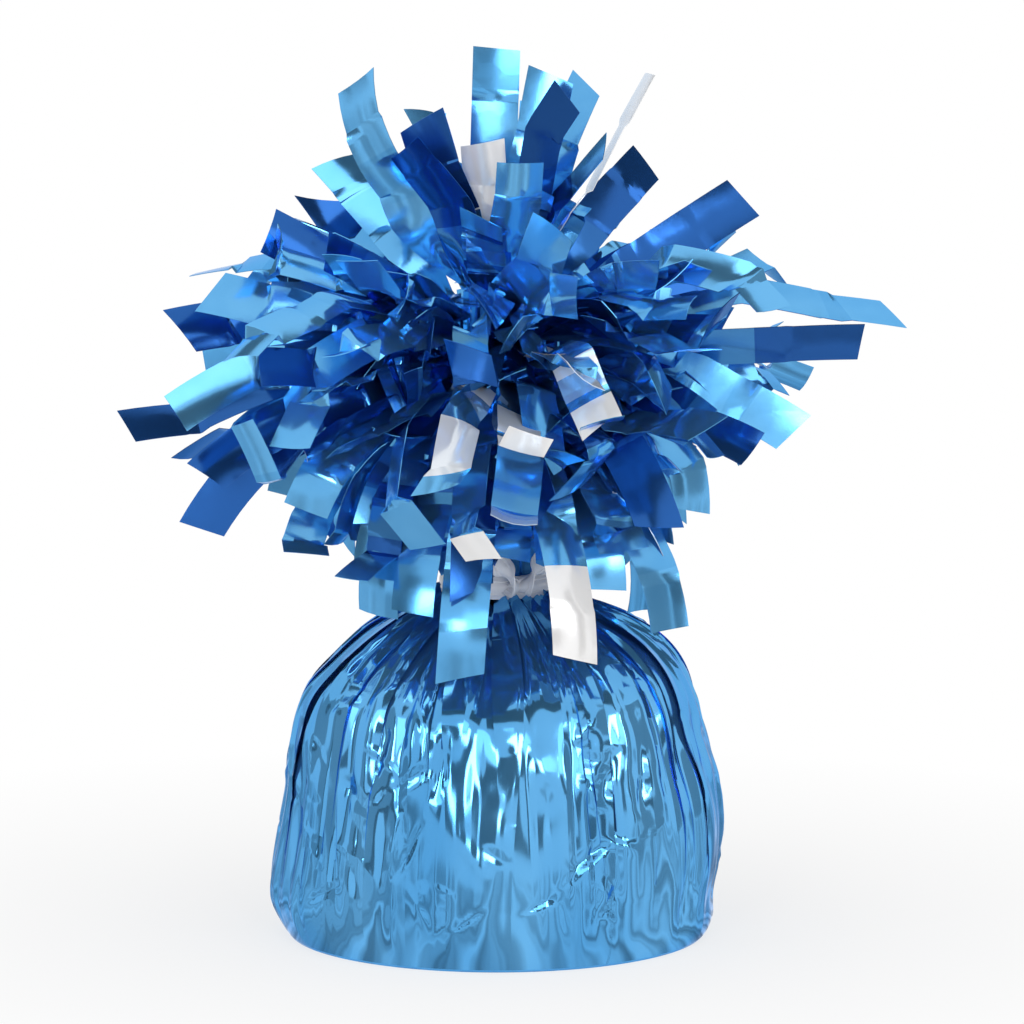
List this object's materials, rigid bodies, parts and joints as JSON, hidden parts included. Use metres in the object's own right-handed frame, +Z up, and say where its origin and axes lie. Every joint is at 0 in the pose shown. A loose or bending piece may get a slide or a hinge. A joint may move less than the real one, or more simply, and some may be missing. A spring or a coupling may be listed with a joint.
{
  "type": "balloon weight",
  "caption": "Foil-wrapped balloon weight: a squat sand-filled body with a gathered, tied neck and a spreading tuft of foil strips.",
  "frame": {"origin": "middle of the flat foot", "axes": "+Z up through the neck, -Y towards the viewer of the picture, +X to the viewer's right"},
  "size_m": [0.1212, 0.1086, 0.1399],
  "materials": {
    "blue_foil": "metallised film, bright blue mirror finish, creased",
    "sand": "dry fine sand",
    "clear_film": "thin clear bag film",
    "elastic": "natural elastic band",
    "white_tie": "white plastic twist tie with a ribbed face",
    "tie_steel": "soft steel wire"
  },
  "bodies": {
    "base": {"sand_fill": "sand", "sand_bag": "clear_film", "bag_band": "elastic", "foil_wrap": "blue_foil", "foil_neck": "blue_foil", "twist_tie": "white_tie", "tie_wire": "tie_steel"},
    "throat": {"foil_throat": "blue_foil"},
    "tuft": {"foil_stalk": "blue_foil", "fringe_crown": "blue_foil"},
    "panel_right": {"fringe_right": "blue_foil", "skirt_right": "blue_foil"},
    "panel_back_right": {"fringe_back_right": "blue_foil", "skirt_back_right": "blue_foil"},
    "panel_back": {"fringe_back": "blue_foil", "skirt_back": "blue_foil"},
    "panel_back_left": {"fringe_back_left": "blue_foil", "skirt_back_left": "blue_foil"},
    "panel_left": {"fringe_left": "blue_foil", "skirt_left": "blue_foil"},
    "panel_front_left": {"fringe_front_left": "blue_foil", "skirt_front_left": "blue_foil"},
    "panel_front": {"fringe_front": "blue_foil", "skirt_front": "blue_foil"},
    "panel_front_right": {"fringe_front_right": "blue_foil", "skirt_front_right": "blue_foil"}
  },
  "joints": [
    {"name": "neck_nod", "type": "hinge", "parent": "base", "child": "throat", "pos_m": [0, 0, 0.0622], "axis": [1, 0, 0], "range_deg": [-8, 8], "stiffness_Nm_per_rad": 0.12, "deforming": ["foil_throat"]},
    {"name": "neck_sway", "type": "hinge", "parent": "throat", "child": "tuft", "pos_m": [0, 0, 0.0622], "axis": [0, 1, 0], "range_deg": [-8, 8], "stiffness_Nm_per_rad": 0.12, "deforming": ["foil_throat"]},
    {"name": "lift_right", "type": "hinge", "parent": "tuft", "child": "panel_right", "pos_m": [0.0085, 0.00089, 0.101], "axis": [0.1045, -0.9945, 0], "range_deg": [0, 18], "stiffness_Nm_per_rad": 0.004},
    {"name": "lift_back_right", "type": "hinge", "parent": "tuft", "child": "panel_back_right", "pos_m": [0.00538, 0.00664, 0.101], "axis": [0.7771, -0.6293, 0], "range_deg": [0, 18], "stiffness_Nm_per_rad": 0.004},
    {"name": "lift_back", "type": "hinge", "parent": "tuft", "child": "panel_back", "pos_m": [-0.00089, 0.0085, 0.101], "axis": [0.9945, 0.1045, 0], "range_deg": [0, 18], "stiffness_Nm_per_rad": 0.004},
    {"name": "lift_back_left", "type": "hinge", "parent": "tuft", "child": "panel_back_left", "pos_m": [-0.00664, 0.00538, 0.101], "axis": [0.6293, 0.7771, 0], "range_deg": [0, 18], "stiffness_Nm_per_rad": 0.004},
    {"name": "lift_left", "type": "hinge", "parent": "tuft", "child": "panel_left", "pos_m": [-0.0085, -0.00089, 0.101], "axis": [-0.1045, 0.9945, 0], "range_deg": [0, 18], "stiffness_Nm_per_rad": 0.004},
    {"name": "lift_front_left", "type": "hinge", "parent": "tuft", "child": "panel_front_left", "pos_m": [-0.00538, -0.00664, 0.101], "axis": [-0.7771, 0.6293, 0], "range_deg": [0, 18], "stiffness_Nm_per_rad": 0.004},
    {"name": "lift_front", "type": "hinge", "parent": "tuft", "child": "panel_front", "pos_m": [0.00089, -0.0085, 0.101], "axis": [-0.9945, -0.1045, 0], "range_deg": [0, 18], "stiffness_Nm_per_rad": 0.004},
    {"name": "lift_front_right", "type": "hinge", "parent": "tuft", "child": "panel_front_right", "pos_m": [0.00664, -0.00538, 0.101], "axis": [-0.6293, -0.7771, 0], "range_deg": [0, 18], "stiffness_Nm_per_rad": 0.004}
  ]
}
